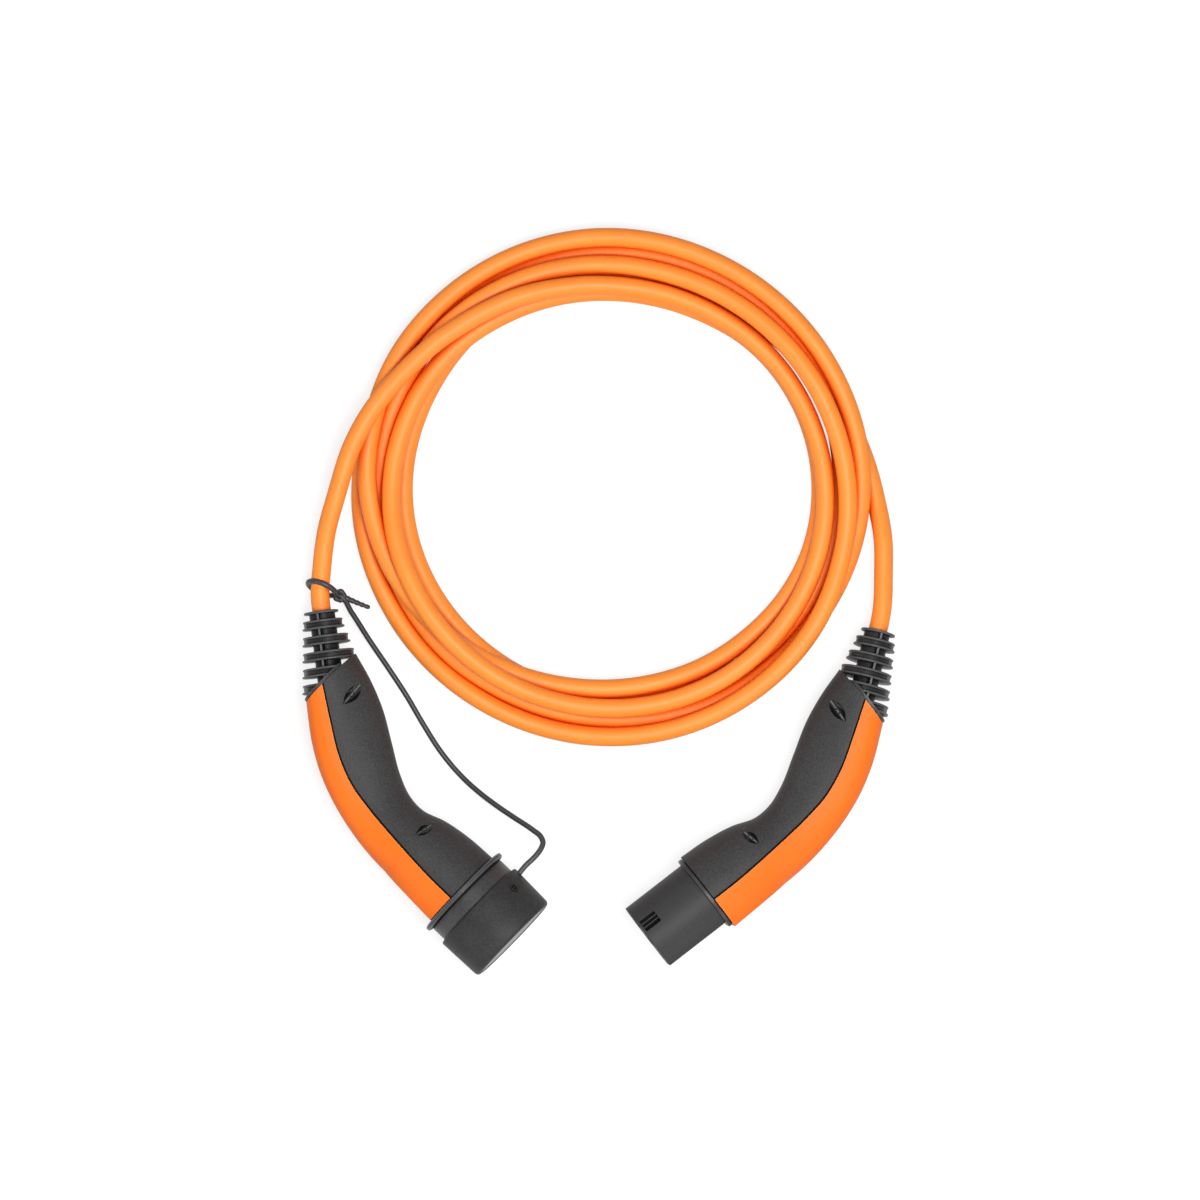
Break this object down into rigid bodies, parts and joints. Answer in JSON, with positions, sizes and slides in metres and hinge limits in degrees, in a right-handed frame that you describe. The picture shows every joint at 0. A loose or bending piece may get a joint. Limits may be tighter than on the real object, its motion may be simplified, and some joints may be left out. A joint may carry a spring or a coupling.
{
  "type": "ev charging cable",
  "caption": "Coiled orange charging cable for an electric car, with an angled vehicle connector on one end and a plug under a dust cap on a lanyard on the other.",
  "frame": {"origin": "bottom centre of the box round the two connectors and the cap, on the floor", "axes": "+Z up from the floor towards the camera; +X to the right in the picture; +Y up in the picture, from the connectors towards the coil"},
  "size_m": [0.4143, 0.5214, 0.0751],
  "materials": {
    "black_plastic": "fine-grained matte",
    "cap_plastic": "matte, slightly rougher",
    "orange_plastic": "fine-grained matte",
    "black_rubber": "matte",
    "cable_jacket": "smooth satin",
    "contact_silver": "silver plated",
    "nylon": "matte",
    "core_insulation": "satin",
    "screw_steel": "satin"
  },
  "bodies": {
    "root": {"vehicle_front_shell": "black_plastic", "vehicle_back_shell": "orange_plastic", "vehicle_contact_l1": "contact_silver", "vehicle_contact_l2": "contact_silver", "vehicle_contact_l3": "contact_silver", "vehicle_contact_n": "contact_silver", "vehicle_contact_pe": "contact_silver", "vehicle_contact_cp": "contact_silver", "vehicle_contact_pp": "contact_silver", "vehicle_contact_holder": "nylon", "vehicle_clamp_base": "nylon", "vehicle_clamp_strap": "nylon", "vehicle_clamp_screws": "screw_steel", "vehicle_housing_screws": "screw_steel", "vehicle_cores": "core_insulation", "vehicle_boot": "black_rubber", "vehicle_seal": "black_rubber", "plug_front_shell": "black_plastic", "plug_back_shell": "orange_plastic", "plug_contact_l1": "contact_silver", "plug_contact_l2": "contact_silver", "plug_contact_l3": "contact_silver", "plug_contact_n": "contact_silver", "plug_contact_pe": "contact_silver", "plug_contact_cp": "contact_silver", "plug_contact_pp": "contact_silver", "plug_contact_holder": "nylon", "plug_clamp_base": "nylon", "plug_clamp_strap": "nylon", "plug_clamp_screws": "screw_steel", "plug_housing_screws": "screw_steel", "plug_cores": "core_insulation", "plug_boot": "black_rubber", "plug_seal": "black_rubber", "vehicle_nose": "black_plastic", "plug_shroud": "black_plastic", "dust_cap": "cap_plastic", "cap_lanyard": "black_rubber", "cable_coil": "cable_jacket", "cable_tail_vehicle": "cable_jacket", "cable_tail_plug": "cable_jacket"}
  },
  "joints": []
}
